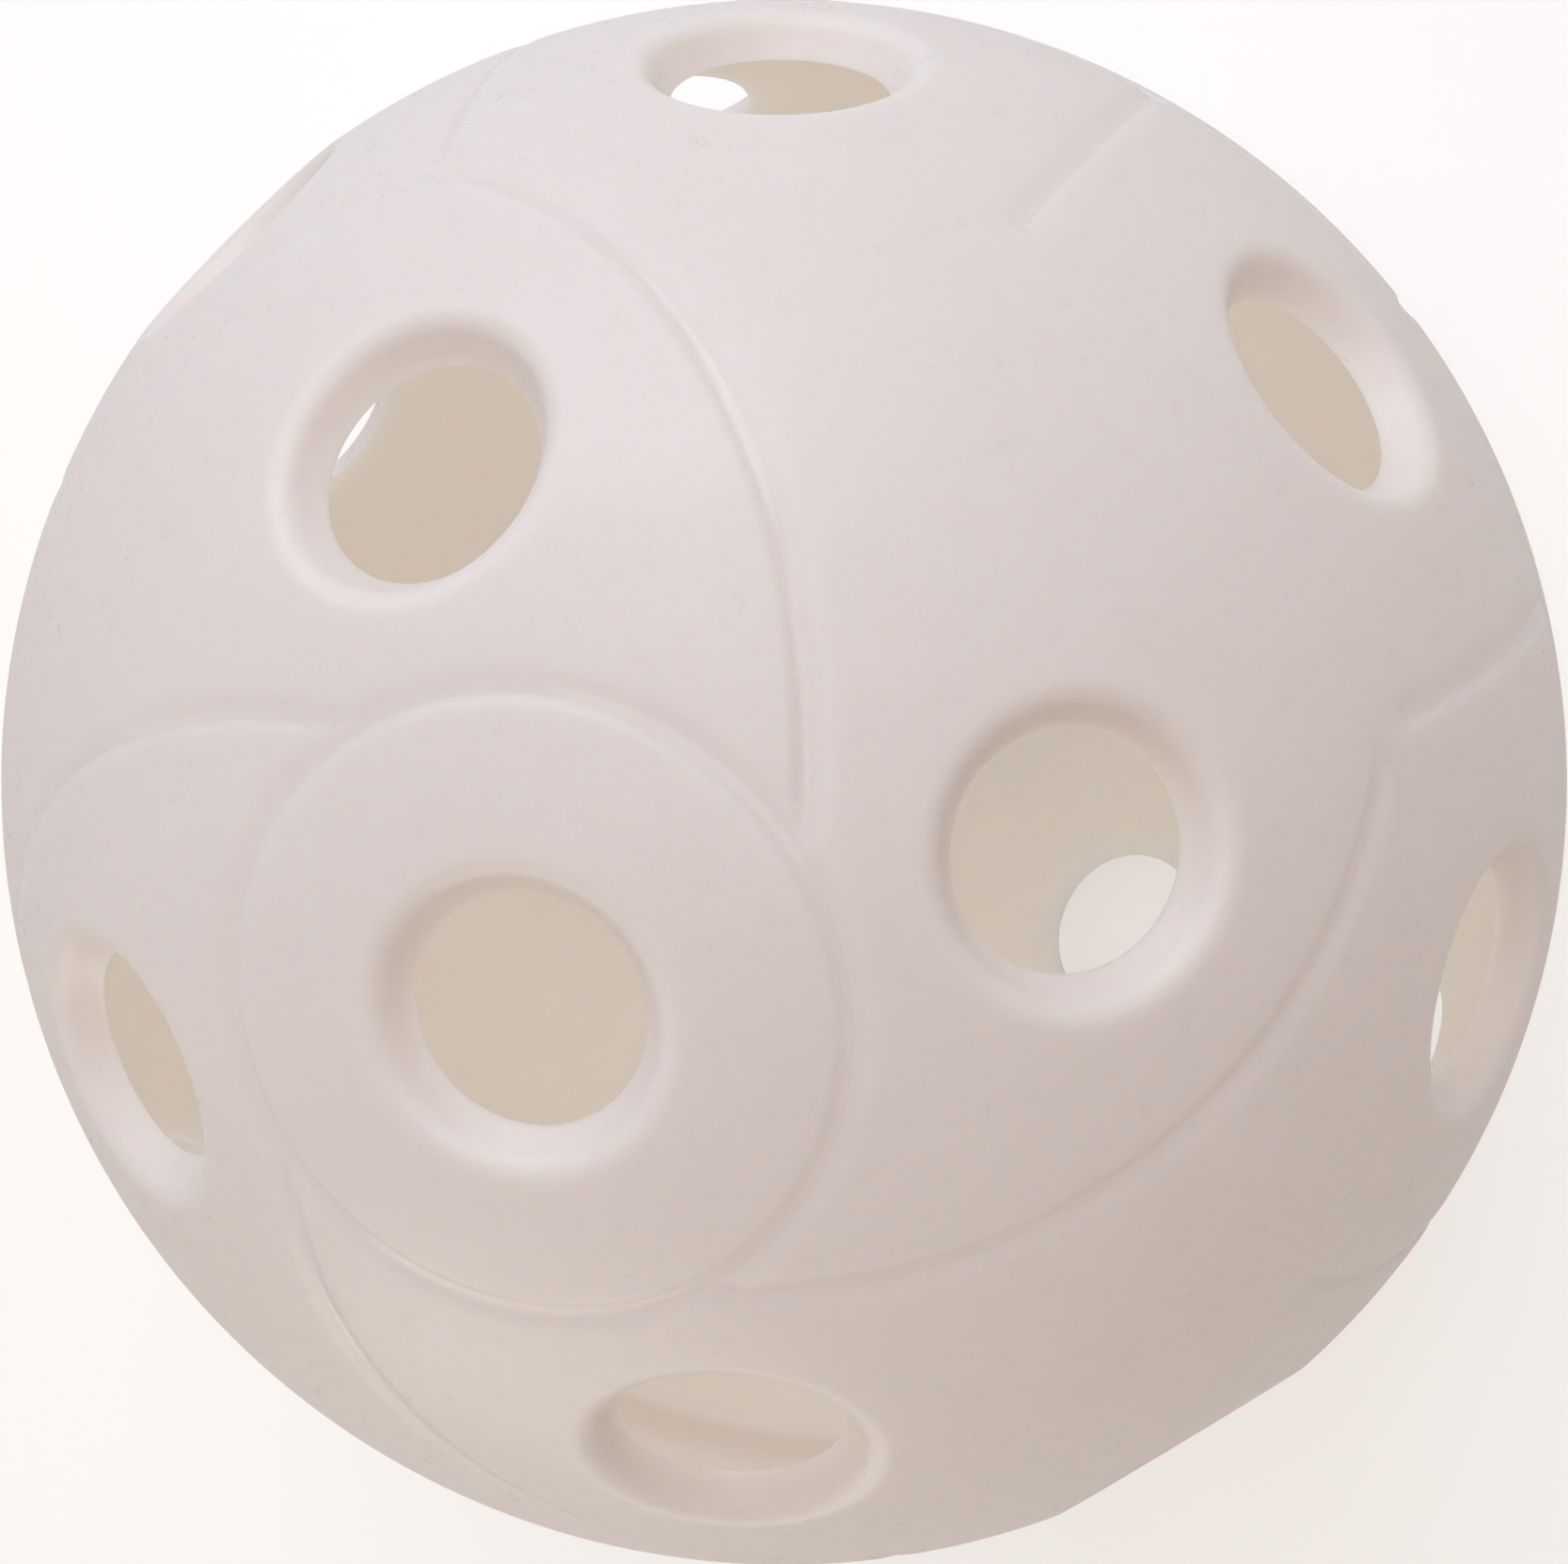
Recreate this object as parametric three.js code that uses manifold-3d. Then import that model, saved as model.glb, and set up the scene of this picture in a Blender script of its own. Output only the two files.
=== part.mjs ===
// Floorball ball: a light hollow ball of white polyethylene with 26 round holes.
// It is two moulded half shells that lap along the equator and are welded there.
//
// Millimetres, +Z up. The origin is the centre of the ball. The Z axis runs through
// the two polar holes and the seam lies in the plane z = 0. Both halves are drawn as
// the upper one, with the pole on +Z, and the lower one is then turned over.

import * as THREE from 'three';
import { mergeVertices } from 'three/addons/utils/BufferGeometryUtils.js';
import Module from 'manifold-3d';

// Ball
const ballDiameter = 72;
const wallThickness = 1.85;

// Holes: a bore that is narrowest at the inner wall, widens outwards and ends in a
// rounded lip that runs smoothly into the outside of the ball
const holeBoreDiameter = 9;
const holeFlare = 1.9;
const holeLipRadius = 1.1;

// Rows of holes of one half: angle from the pole, number of holes and turn of the row
const innerHoleRow = { polarAngle: 35.1, count: 4, turn: 0 };
const outerHoleRow = { polarAngle: 71.4, count: 8, turn: 22.5 };

// Shallow moulded grooves: a short steep flank on one side, a long soft one on the other
const grooveDepth = 0.2;
const grooveSteepRun = 0.95;
const grooveSoftRun = 1.4;
const bandGrooveDepth = 0.06;

// Relief pattern, as angles on the ball: a disc round the pole, four large circles that
// overlap like the blades of a rotor, a circle round all of them and a plain band
// below it that straight grooves divide
const discAngle = 19.6;
const bladeCircle = { polarAngle: 28.3, radiusAngle: 41.4, count: 4, turn: 45 };
const bandAngle = 58.3;
const bandPanelCount = 8;

// Seam: a small bevel outside, and inside a lip of the lower half in a rebate of the
// upper one, whose far end tapers back to the wall
const seamBevel = 0.2;
const lapHeight = 0.4;
const lapThickness = 0.75;
const lapClearance = 0.3;
const rebateTaper = 3.5;

// The lower half is the upper one turned over about a level line at this azimuth, which
// sets its rows of holes between those of the upper half
const turnOverAzimuth = 11.25;

// How far a cutting shape runs past what it cuts
const cutOverrun = 0.4;

// Points closer than this share of the ball's diameter are one point
const mergeShare = 1e-6;

// Facets
const ballSegments = 48;
const outerRings = 12;
const innerRings = 6;
const holeSegments = 16;
const holeLipSteps = 2;
const bladeGrooveSteps = 12;
const panelGrooveSteps = 4;

const ballRadius = ballDiameter / 2;
const innerRadius = ballRadius - wallThickness;
const boreRadius = holeBoreDiameter / 2;
const mouthRadius = boreRadius + holeFlare;
const shellColour = 0xe2dcd8;

const radians = THREE.MathUtils.degToRad;

// Height above the seam plane of a sphere at a distance from the polar axis, or the
// distance from the axis at a height
function sphereReach(sphereRadius, offset) {
  return Math.sqrt(sphereRadius ** 2 - offset ** 2);
}

// A point on the sphere's meridian, as distance from the axis and height
function meridianPoint(sphereRadius, polarAngle) {
  return new THREE.Vector2(
    sphereRadius * Math.sin(polarAngle),
    sphereRadius * Math.cos(polarAngle),
  );
}

// A direction from the centre of the ball
function direction(polarDegrees, azimuthDegrees) {
  const spherical = new THREE.Vector3().setFromSphericalCoords(
    1,
    radians(polarDegrees),
    radians(azimuthDegrees),
  );
  return new THREE.Vector3(spherical.z, spherical.x, spherical.y);
}

// Half section of a hole's wall, from the edge of the bore at the inner wall to the
// mouth on the outside: a straight flank, then an arc tangent to it and to the ball
function holeWallPoints() {
  const boreEdge = new THREE.Vector2(boreRadius, sphereReach(innerRadius, boreRadius));
  const mouthEdge = new THREE.Vector2(mouthRadius, sphereReach(ballRadius, mouthRadius));
  const lipCentre = mouthEdge.clone().multiplyScalar(1 - holeLipRadius / ballRadius);
  const toBore = boreEdge.clone().sub(lipCentre);
  const reach = Math.acos(Math.min(1, holeLipRadius / toBore.length()));
  const flankEnd = toBore.angle() - reach;
  const mouthEnd = mouthEdge.angle();
  const points = [boreEdge];
  for (let step = 0; step <= holeLipSteps; step += 1) {
    const angle = THREE.MathUtils.lerp(flankEnd, mouthEnd, step / holeLipSteps);
    points.push(new THREE.Vector2(
      lipCentre.x + holeLipRadius * Math.cos(angle),
      lipCentre.y + holeLipRadius * Math.sin(angle),
    ));
  }
  return points;
}

// Points across a groove, as distance along the ball and height over it
function groovePoints(depth) {
  return [
    { along: -grooveSteepRun, height: 0 },
    { along: 0, height: -depth },
    { along: grooveSoftRun, height: 0 },
  ];
}

// Outside of a half shell from the mouth of the polar hole down to the seam, with the
// groove round the disc and the one round the blades turned into it
function outerMeridian() {
  const mouthAngle = Math.asin(mouthRadius / ballRadius);
  const bevelAngle = Math.PI / 2 - seamBevel / ballRadius;
  const grooves = [
    { angle: radians(discAngle), depth: grooveDepth },
    { angle: radians(bandAngle), depth: bandGrooveDepth },
  ];
  const points = [];
  let from = mouthAngle;
  const fill = (to) => {
    const steps = Math.max(1, Math.round((to - from) / (Math.PI / 2 / outerRings)));
    for (let step = 1; step < steps; step += 1) {
      points.push(meridianPoint(ballRadius, THREE.MathUtils.lerp(from, to, step / steps)));
    }
  };
  for (const groove of grooves) {
    fill(groove.angle - grooveSteepRun / ballRadius);
    for (const { along, height } of groovePoints(groove.depth)) {
      points.push(meridianPoint(ballRadius + height, groove.angle + along / ballRadius));
    }
    from = groove.angle + grooveSoftRun / ballRadius;
  }
  fill(bevelAngle);
  points.push(meridianPoint(ballRadius, bevelAngle));
  points.push(new THREE.Vector2(ballRadius - seamBevel, 0));
  return points;
}

// The rebate of the upper half: level at the seam, up behind the lip, and back to the
// inner wall along the taper. It ends with its last point on the inner wall.
function rebatePoints() {
  const rebateRadius = innerRadius + lapThickness + lapClearance;
  const rebateTop = lapHeight + lapClearance;
  const taperTop = rebateTop + rebateTaper;
  return [
    new THREE.Vector2(rebateRadius, 0),
    new THREE.Vector2(rebateRadius, rebateTop),
    new THREE.Vector2(sphereReach(innerRadius, taperTop), taperTop),
  ];
}

// The lip of the lower half: it stands past the seam plane, flush with the inner wall
function lipPoints() {
  const lipRadius = innerRadius + lapThickness;
  return [
    new THREE.Vector2(lipRadius, 0),
    new THREE.Vector2(lipRadius, -lapHeight),
    new THREE.Vector2(sphereReach(innerRadius, lapHeight), -lapHeight),
    new THREE.Vector2(innerRadius, 0),
  ];
}

// Inside of a half shell from the end of the seam detail up to the polar hole's bore
function innerMeridian(start) {
  const from = Math.atan2(start.x, start.y);
  const to = Math.asin(boreRadius / innerRadius);
  const points = [];
  for (let ring = 1; ring < innerRings; ring += 1) {
    points.push(meridianPoint(innerRadius, THREE.MathUtils.lerp(from, to, ring / innerRings)));
  }
  return points;
}

// Closed section of a half shell in one half plane, turned about the Z axis. It is
// drawn outside first and then reversed, so that its outside runs upwards.
function revolvedShell(seamPoints) {
  const section = [
    ...holeWallPoints(),
    ...outerMeridian(),
    ...seamPoints,
    ...innerMeridian(seamPoints.at(-1)),
  ];
  section.push(section[0].clone());
  return new THREE.LatheGeometry(section.reverse(), ballSegments).rotateX(Math.PI / 2);
}

// The space that a hole takes out of the wall, standing on the Z axis
function holeCutterGeometry() {
  const inside = innerRadius - wallThickness;
  const outside = ballRadius + cutOverrun;
  const section = [
    new THREE.Vector2(0, inside),
    new THREE.Vector2(boreRadius, inside),
    ...holeWallPoints(),
    new THREE.Vector2(mouthRadius, outside),
    new THREE.Vector2(0, outside),
  ];
  return new THREE.LatheGeometry(section, holeSegments).rotateX(Math.PI / 2);
}

// Hole cutters of one row, each turned from the pole to its place
function holeRowCutters({ polarAngle, count, turn }) {
  const pole = new THREE.Vector3(0, 0, 1);
  const cutters = [];
  for (let index = 0; index < count; index += 1) {
    const axis = direction(polarAngle, turn + (index * 360) / count);
    const turnToAxis = new THREE.Quaternion().setFromUnitVectors(pole, axis);
    cutters.push(holeCutterGeometry().applyQuaternion(turnToAxis));
  }
  return cutters;
}

// A groove along a circle on the ball: its section is carried round the circle's axis
// from one bearing to another, where bearing zero points towards the pole. The section
// is the groove's, with its flanks running on past the surface.
function circleGrooveCutter(axis, radiusAngle, fromBearing, toBearing, steps) {
  const [steepTop, floor, softTop] = groovePoints(grooveDepth);
  const widen = 1 + cutOverrun / grooveDepth;
  const section = [
    { along: steepTop.along * widen, height: cutOverrun },
    floor,
    { along: softTop.along * widen, height: cutOverrun },
  ];
  const towardsPole = new THREE.Vector3(0, 0, 1).projectOnPlane(axis).normalize();
  const sideways = new THREE.Vector3().crossVectors(axis, towardsPole);
  const positions = [];
  for (let step = 0; step <= steps; step += 1) {
    const bearing = THREE.MathUtils.lerp(fromBearing, toBearing, step / steps);
    const outwards = towardsPole.clone().multiplyScalar(Math.cos(bearing));
    outwards.addScaledVector(sideways, Math.sin(bearing));
    for (const { along, height } of section) {
      const angle = radiusAngle + along / ballRadius;
      const point = axis.clone().multiplyScalar(Math.cos(angle));
      point.addScaledVector(outwards, Math.sin(angle));
      positions.push(...point.multiplyScalar(ballRadius + height));
    }
  }
  const corners = section.length;
  const indices = [];
  for (let step = 0; step < steps; step += 1) {
    for (let corner = 0; corner < corners; corner += 1) {
      const here = step * corners + corner;
      const next = step * corners + ((corner + 1) % corners);
      indices.push(here, next + corners, next, here, here + corners, next + corners);
    }
  }
  const last = steps * corners;
  for (let corner = 1; corner < corners - 1; corner += 1) {
    indices.push(0, corner, corner + 1);
    indices.push(last, last + corner + 1, last + corner);
  }
  const geometry = new THREE.BufferGeometry();
  geometry.setAttribute('position', new THREE.Float32BufferAttribute(positions, 3));
  geometry.setIndex(indices);
  return geometry;
}

// Bearing at which a blade's circle crosses a circle of constant angle from the pole
function crossingBearing(polarAngle) {
  const centre = radians(bladeCircle.polarAngle);
  const radius = radians(bladeCircle.radiusAngle);
  const gap = Math.cos(radians(polarAngle)) - Math.cos(centre) * Math.cos(radius);
  return Math.acos(gap / (Math.sin(centre) * Math.sin(radius)));
}

// The edge of each blade, from the disc's groove out to the circle round the blades
function bladeGrooveCutters() {
  const cutters = [];
  const { polarAngle, radiusAngle, count, turn } = bladeCircle;
  const from = crossingBearing(discAngle);
  const to = crossingBearing(bandAngle);
  for (let index = 0; index < count; index += 1) {
    const axis = direction(polarAngle, turn + (index * 360) / count);
    cutters.push(circleGrooveCutter(axis, radians(radiusAngle), from, to, bladeGrooveSteps));
  }
  return cutters;
}

// The straight grooves of the band, from the circle round the blades past the seam
function panelGrooveCutters() {
  const cutters = [];
  const pastSeam = cutOverrun / ballRadius;
  for (let index = 0; index < bandPanelCount; index += 1) {
    const axis = direction(90, (index * 360) / bandPanelCount - 90);
    const from = -Math.PI / 2 - pastSeam;
    const to = -radians(bandAngle);
    cutters.push(circleGrooveCutter(axis, Math.PI / 2, from, to, panelGrooveSteps));
  }
  return cutters;
}

const wasm = await Module();
wasm.setup();

// A closed mesh as a solid, with shared vertices merged and collapsed facets left out
function toSolid(geometry) {
  const shape = geometry.clone();
  shape.deleteAttribute('normal');
  shape.deleteAttribute('uv');
  const merged = mergeVertices(shape, ballDiameter * mergeShare);
  const index = merged.index.array;
  const triangles = [];
  for (let corner = 0; corner < index.length; corner += 3) {
    const [a, b, c] = index.slice(corner, corner + 3);
    if (a !== b && b !== c && c !== a) {
      triangles.push(a, b, c);
    }
  }
  return new wasm.Manifold(new wasm.Mesh({
    numProp: 3,
    vertProperties: new Float32Array(merged.attributes.position.array),
    triVerts: new Uint32Array(triangles),
  }));
}

function toGeometry(solid) {
  const { vertProperties, triVerts } = solid.getMesh();
  const geometry = new THREE.BufferGeometry();
  geometry.setAttribute('position', new THREE.BufferAttribute(vertProperties, 3));
  geometry.setIndex(new THREE.BufferAttribute(triVerts, 1));
  geometry.computeVertexNormals();
  return geometry;
}

// A half shell with its pole on +Z: the turned shell less its rows of holes and grooves
function halfShellGeometry(seamPoints) {
  const cutters = [
    ...holeRowCutters(innerHoleRow),
    ...holeRowCutters(outerHoleRow),
    ...bladeGrooveCutters(),
    ...panelGrooveCutters(),
  ];
  let shell = toSolid(revolvedShell(seamPoints));
  for (const cutter of cutters) {
    shell = shell.subtract(toSolid(cutter));
  }
  return toGeometry(shell);
}

function shellMesh(name, geometry) {
  const material = new THREE.MeshStandardMaterial({
    color: shellColour,
    roughness: 0.45,
    metalness: 0,
  });
  const mesh = new THREE.Mesh(geometry, material);
  mesh.name = name;
  return mesh;
}

const ball = new THREE.Group();

const upperHalf = shellMesh('upper_half_shell', halfShellGeometry(rebatePoints()));
ball.add(upperHalf);

const lowerHalf = shellMesh('lower_half_shell', halfShellGeometry(lipPoints()));
lowerHalf.rotateOnAxis(direction(90, turnOverAzimuth), Math.PI);
ball.add(lowerHalf);

export default ball;
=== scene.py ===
"""Looks of a floorball ball: a light hollow ball of white polyethylene with 26 round holes.

Metres, +Z up, origin at the centre of the ball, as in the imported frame. The ball is two
moulded half shells that lap along the seam in the plane z = 0, where they are welded.
Each half is a closed mesh worked out as whole arrays: directions from the centre of the
ball are triangulated, and a height over those directions gives the wall its form.
"""
import logging
import math
from collections.abc import Sequence
from dataclasses import dataclass, field, replace
from enum import Enum

import bpy
import numpy as np
from mathutils import Matrix, Vector
from mathutils.geometry import delaunay_2d_cdt


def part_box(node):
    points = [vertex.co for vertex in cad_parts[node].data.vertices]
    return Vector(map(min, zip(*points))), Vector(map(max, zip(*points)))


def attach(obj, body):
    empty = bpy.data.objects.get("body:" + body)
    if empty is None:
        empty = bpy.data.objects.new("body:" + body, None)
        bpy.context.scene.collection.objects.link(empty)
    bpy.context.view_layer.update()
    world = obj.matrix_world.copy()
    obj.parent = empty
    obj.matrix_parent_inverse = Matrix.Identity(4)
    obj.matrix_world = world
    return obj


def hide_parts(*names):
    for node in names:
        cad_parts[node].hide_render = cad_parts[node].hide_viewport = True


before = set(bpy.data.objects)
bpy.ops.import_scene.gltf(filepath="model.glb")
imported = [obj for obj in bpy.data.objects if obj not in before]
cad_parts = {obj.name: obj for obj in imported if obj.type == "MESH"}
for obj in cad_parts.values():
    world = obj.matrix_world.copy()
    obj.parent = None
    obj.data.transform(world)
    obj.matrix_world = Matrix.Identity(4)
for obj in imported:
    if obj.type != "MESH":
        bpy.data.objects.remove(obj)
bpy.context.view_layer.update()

MM = 0.001
WHITE = (1.0, 1.0, 1.0, 1.0)

# Two numbers closer than this count as the same.
ROUNDING = 1e-9

# Size of the lumps of each pattern in the moulded skin, as a multiple of the grain's
# size, and how many finer octaves it has.
GRAIN_LUMPS = (1.0, 2.0)
WAVE_LUMPS = (9.0, 1.0)
PATCH_LUMPS = (22.0, 3.0)

# Limits of the handling marks: the value at which a mark is full, and at which it ends.
SCUFF_WIDTH = (0.003, 0.012)
SCUFF_PLACES = (0.66, 0.62)
DENT_WIDTH = (0.02, 0.07)
DENT_PLACES = (0.72, 0.7)

# Rate of the noise that places the scuffs, as a share of the rate of the marks.
SCUFF_PLACES_RATE = 0.43

log = logging.getLogger("floorball_ball")


def direction(polar: float | np.ndarray, azimuth: float | np.ndarray) -> np.ndarray:
    """Unit vectors from the centre of the ball.

    Formula: (sin polar cos azimuth, sin polar sin azimuth, cos polar).

    Args:
        polar: Angle from +Z, in radians.
        azimuth: Angle about +Z from +X, in radians.

    Returns:
        Array of directions whose last axis is x, y, z.
    """
    polar, azimuth = np.broadcast_arrays(polar, azimuth)
    level = np.sin(polar)
    return np.stack([level * np.cos(azimuth), level * np.sin(azimuth), np.cos(polar)], axis=-1)


def smooth_step(value: np.ndarray) -> np.ndarray:
    """Eases from 0 to 1 as value goes from 0 to 1: three squares less two cubes."""
    share = np.clip(value, 0.0, 1.0)
    return share * share * (3.0 - 2.0 * share)


@dataclass(frozen=True)
class Circle:
    """A circle on the ball: all directions at one angle from an axis."""

    polar: float
    azimuth: float
    radius: float = math.pi / 2

    @property
    def axis(self) -> np.ndarray:
        """The direction of the circle's middle."""
        return direction(self.polar, self.azimuth)

    @property
    def towards_pole(self) -> np.ndarray:
        """The level direction at the axis that points to +Z, where bearing is zero."""
        return direction(self.polar - math.pi / 2, self.azimuth)

    @property
    def sideways(self) -> np.ndarray:
        """The third direction, along which bearing grows."""
        return np.cross(self.axis, self.towards_pole)

    def points(self, angles: np.ndarray, bearings: np.ndarray) -> np.ndarray:
        """Directions on a grid of angles from the axis and bearings round it.

        Formula: cos angle times the axis, plus sin angle times the outward direction of
        that bearing, which is cos bearing towards the pole plus sin bearing sideways.

        Args:
            angles: Angles from the axis, in radians.
            bearings: Bearings round the axis, in radians.

        Returns:
            Directions, first by angle and then by bearing.
        """
        outward = np.multiply.outer(np.cos(bearings), self.towards_pole)
        outward += np.multiply.outer(np.sin(bearings), self.sideways)
        along = np.multiply.outer(np.cos(angles), self.axis)
        return along[:, None, :] + np.sin(angles)[:, None, None] * outward[None, :, :]

    def angle_to(self, directions: np.ndarray) -> np.ndarray:
        """Angle of each direction from the axis, in radians."""
        return np.arccos(np.clip(directions @ self.axis, -1.0, 1.0))

    def bearing_of(self, directions: np.ndarray) -> np.ndarray:
        """Bearing of each direction round the axis, from -pi to pi."""
        return np.arctan2(directions @ self.sideways, directions @ self.towards_pole)


@dataclass(frozen=True)
class Wall:
    """The ball's wall: outside from the frame, thickness as moulded."""

    outer_radius: float
    thickness: float = 1.85 * MM

    @property
    def inner_radius(self) -> float:
        """Radius of the inside of the wall."""
        return self.outer_radius - self.thickness


@dataclass(frozen=True)
class HoleShape:
    """A hole that is narrowest at the inner wall and ends in a rounded lip outside."""

    bore_radius: float = 4.5 * MM
    flare: float = 1.9 * MM
    lip_radius: float = 1.1 * MM
    around: int = 96
    flank_steps: int = 5
    lip_steps: int = 9
    apron_steps: tuple[float, ...] = (0.25 * MM, 0.6 * MM, 1.05 * MM)
    inner_steps: tuple[float, ...] = (0.3 * MM, 0.8 * MM, 1.5 * MM)

    @property
    def mouth_radius(self) -> float:
        """Radius at which the lip runs into the outside of the ball."""
        return self.bore_radius + self.flare

    def section(self, wall: Wall) -> tuple[np.ndarray, np.ndarray]:
        """Half section of the hole's wall from the bore's edge to the mouth.

        Formula: a straight flank from the edge of the bore, then an arc of the lip's
        radius that is tangent to the flank and to the outside of the ball.

        Args:
            wall: The ball's wall.

        Returns:
            Angle from the hole's axis and distance from the ball's centre of each point.
        """
        bore = complex(self.bore_radius, math.sqrt(wall.inner_radius**2 - self.bore_radius**2))
        mouth = complex(self.mouth_radius, math.sqrt(wall.outer_radius**2 - self.mouth_radius**2))
        centre = mouth * (1.0 - self.lip_radius / wall.outer_radius)
        to_bore = bore - centre
        reach = math.acos(min(1.0, self.lip_radius / abs(to_bore)))
        flank_end = math.atan2(to_bore.imag, to_bore.real) % math.tau - reach
        mouth_end = math.atan2(mouth.imag, mouth.real)
        arc = np.linspace(flank_end, mouth_end, self.lip_steps + 1)
        lip = centre + self.lip_radius * np.exp(1j * arc)
        flank = np.linspace(bore, lip[0], self.flank_steps + 1)[:-1]
        points = np.concatenate([flank, lip])
        return np.arctan2(points.real, points.imag), np.abs(points)


@dataclass(frozen=True)
class HoleRow:
    """A row of holes round the polar axis of a half."""

    polar: float
    count: int
    turn: float

    def circles(self) -> list[Circle]:
        """One circle for each hole, for its axis."""
        turns = [self.turn + index * math.tau / self.count for index in range(self.count)]
        return [Circle(self.polar, turn) for turn in turns]


@dataclass(frozen=True)
class GrooveShape:
    """Section of a shallow moulded groove: a flat bottom, a steep flank and a soft one."""

    flat: float = 0.2 * MM
    steep_run: float = 0.65 * MM
    soft_run: float = 1.0 * MM
    flank_shares: tuple[float, ...] = (0.0, 0.4, 0.75, 1.15)
    point_gap: float = 0.42 * MM

    def depth_share(self, along: np.ndarray) -> np.ndarray:
        """Share of the full depth at a distance across the groove.

        Formula: the way left to the flank's end over the flank's width, eased by a
        smooth step, which is one all over the flat bottom.
        """
        run = np.where(along < 0.0, self.steep_run, self.soft_run)
        return smooth_step((run - np.abs(along)) / (run - self.flat))

    def row_offsets(self) -> np.ndarray:
        """Distances across the groove at which the mesh has a row of points.

        Formula: rows stand at shares of each flank's width past the flat bottom, and one
        stands in the middle.
        """
        shares = np.array(self.flank_shares)
        steep = self.flat + shares * (self.steep_run - self.flat)
        soft = self.flat + shares * (self.soft_run - self.flat)
        return np.concatenate([-steep[::-1], [0.0], soft])

    def covers(self, along: np.ndarray, margin: float) -> np.ndarray:
        """Whether each distance lies on the groove's rows or within a margin of them."""
        offsets = self.row_offsets()
        return (along > offsets[0] - margin) & (along < offsets[-1] + margin)


@dataclass(frozen=True)
class Groove:
    """A groove along a circle on the ball, all round or between two bearings."""

    circle: Circle
    depth: float
    shape: GrooveShape
    start: float = -math.pi
    end: float = math.pi
    start_fade: float = 0.0
    end_fade: float = 0.0

    @property
    def closed(self) -> bool:
        """Whether the groove runs all round its circle."""
        return self.end - self.start > math.tau - ROUNDING

    def across(self, directions: np.ndarray, ball_radius: float) -> np.ndarray:
        """Signed distance of each direction from the groove's line, outwards positive."""
        return (self.circle.angle_to(directions) - self.circle.radius) * ball_radius

    def inside_ends(self, directions: np.ndarray, ball_radius: float) -> tuple[np.ndarray, np.ndarray]:
        """Distance of each direction past the groove's start and before its end."""
        bearing = self.circle.bearing_of(directions)
        reach = ball_radius * math.sin(self.circle.radius)
        return (bearing - self.start) * reach, (self.end - bearing) * reach

    def depth_at(self, directions: np.ndarray, ball_radius: float) -> np.ndarray:
        """How deep the groove is at each direction, fading to nothing at open ends."""
        depth = self.depth * self.shape.depth_share(self.across(directions, ball_radius))
        if self.closed:
            return depth
        from_start, to_end = self.inside_ends(directions, ball_radius)
        for distance, fade in ((from_start, self.start_fade), (to_end, self.end_fade)):
            if fade > 0.0:
                depth = depth * smooth_step(distance / fade)
            else:
                depth = depth * (distance > -self.shape.soft_run)
        return depth

    def covers(self, directions: np.ndarray, ball_radius: float, margin: float) -> np.ndarray:
        """Whether each direction lies on the groove's rows of points or near them."""
        near = self.shape.covers(self.across(directions, ball_radius), margin)
        if self.closed:
            return near
        from_start, to_end = self.inside_ends(directions, ball_radius)
        return near & (from_start > -margin) & (to_end > -margin)

    def rows(self, ball_radius: float) -> np.ndarray:
        """Directions on rows along the groove, one row for each share across it."""
        reach = ball_radius * math.sin(self.circle.radius) * (self.end - self.start)
        count = max(2, round(reach / self.shape.point_gap))
        bearings = np.linspace(self.start, self.end, count, endpoint=not self.closed)
        angles = self.circle.radius + self.shape.row_offsets() / ball_radius
        return self.circle.points(angles, bearings).reshape(-1, 3)


@dataclass(frozen=True)
class Relief:
    """The shallow pattern of a half: disc, rotor blades, the circle round them, band."""

    shape: GrooveShape = GrooveShape()
    depth: float = 0.13 * MM
    band_depth: float = 0.05 * MM
    disc_angle: float = math.radians(19.6)
    blade_polar: float = math.radians(28.3)
    blade_radius: float = math.radians(41.4)
    blade_turn: float = math.radians(45.0)
    blade_count: int = 4
    band_angle: float = math.radians(58.3)
    panel_count: int = 8
    short_fade: float = 0.9 * MM
    long_fade: float = 2.6 * MM
    polished_share: float = 0.985

    def crossing_bearing(self, polar: float) -> float:
        """Bearing at which a blade's circle crosses a circle about the pole.

        Formula: the spherical law of cosines for the pole, the blade's middle and the
        crossing.
        """
        gap = math.cos(polar) - math.cos(self.blade_polar) * math.cos(self.blade_radius)
        return math.acos(gap / (math.sin(self.blade_polar) * math.sin(self.blade_radius)))

    def blades(self) -> list[Groove]:
        """The edge of each blade, from the disc's groove out to the circle round them."""
        start = self.crossing_bearing(self.disc_angle)
        end = self.crossing_bearing(self.band_angle)
        turns = self.blade_turn + np.arange(self.blade_count) * math.tau / self.blade_count
        return [
            Groove(
                circle=Circle(self.blade_polar, turn, self.blade_radius),
                depth=self.depth,
                shape=self.shape,
                start=start,
                end=end,
                start_fade=self.short_fade,
                end_fade=self.long_fade,
            )
            for turn in turns
        ]

    def panels(self) -> list[Groove]:
        """The straight grooves of the band, from the circle round the blades to the seam."""
        turns = np.arange(self.panel_count) * math.tau / self.panel_count - math.pi / 2
        return [
            Groove(
                circle=Circle(math.pi / 2, turn),
                depth=self.depth,
                shape=self.shape,
                start=-math.pi / 2,
                end=-self.band_angle,
                end_fade=self.short_fade,
            )
            for turn in turns
        ]

    def grooves(self) -> list[Groove]:
        """All grooves of a half, the round ones first."""
        disc = Groove(Circle(0.0, 0.0, self.disc_angle), self.depth, self.shape)
        band = Groove(Circle(0.0, 0.0, self.band_angle), self.band_depth, self.shape)
        return [disc, band, *self.blades(), *self.panels()]


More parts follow.
